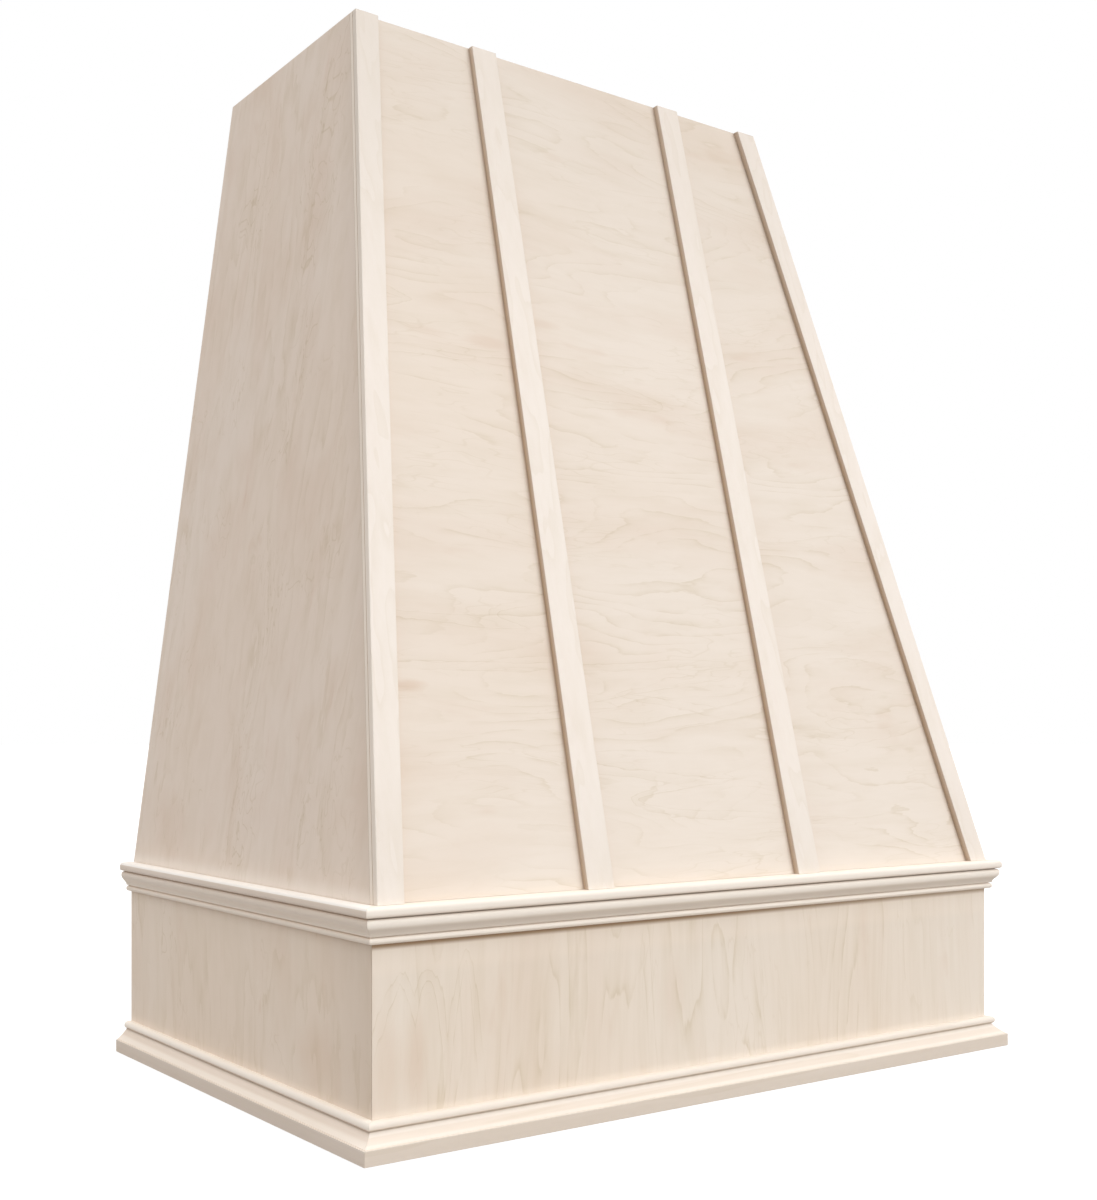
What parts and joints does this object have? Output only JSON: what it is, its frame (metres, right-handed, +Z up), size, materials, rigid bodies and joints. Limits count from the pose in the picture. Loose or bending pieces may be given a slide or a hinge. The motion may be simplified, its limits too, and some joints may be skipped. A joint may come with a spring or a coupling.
{
  "type": "wooden range hood cover",
  "caption": "Wall-hung wooden range hood cover: a body tapered to the front and sides with flat face straps, over a square apron with a ledge moulding above and a base moulding below.",
  "frame": {"origin": "middle of the whole width and depth at the foot, on the plane that the foot of the base moulding stands on", "axes": "+Z up, the front looks along -Y, the wall is at +Y, +X to the right of a person who faces the hood"},
  "size_m": [0.9548, 0.6044, 1.2192],
  "materials": {
    "face_maple": "unfinished sanded maple veneer",
    "side_maple": "unfinished sanded maple veneer",
    "strap_maple": "unfinished sanded solid maple",
    "moulding_maple": "unfinished sanded solid maple",
    "frame_poplar": "planed, unfinished"
  },
  "bodies": {
    "root": {"front_panel": "face_maple", "front_apron": "face_maple", "left_side_panel": "side_maple", "right_side_panel": "side_maple", "left_apron": "side_maple", "right_apron": "side_maple", "left_corner_strap": "strap_maple", "left_centre_strap": "strap_maple", "right_centre_strap": "strap_maple", "right_corner_strap": "strap_maple", "front_ledge_moulding": "moulding_maple", "left_ledge_moulding": "moulding_maple", "right_ledge_moulding": "moulding_maple", "front_base_moulding": "moulding_maple", "left_base_moulding": "moulding_maple", "right_base_moulding": "moulding_maple", "ledge_frame_left_rail": "frame_poplar", "ledge_frame_right_rail": "frame_poplar", "ledge_frame_front_rail": "frame_poplar", "ledge_frame_back_rail": "frame_poplar", "liner_frame_left_rail": "frame_poplar", "liner_frame_right_rail": "frame_poplar", "liner_frame_front_rail": "frame_poplar", "liner_frame_back_rail": "frame_poplar", "left_apron_post": "frame_poplar", "right_apron_post": "frame_poplar", "lower_back_rail": "frame_poplar", "hanging_rail": "frame_poplar", "top_front_rail": "frame_poplar", "top_left_rail": "frame_poplar", "top_right_rail": "frame_poplar", "left_corner_post": "frame_poplar", "right_corner_post": "frame_poplar", "left_back_stile": "frame_poplar", "right_back_stile": "frame_poplar", "left_strap_rib": "frame_poplar", "right_strap_rib": "frame_poplar"}
  },
  "joints": []
}
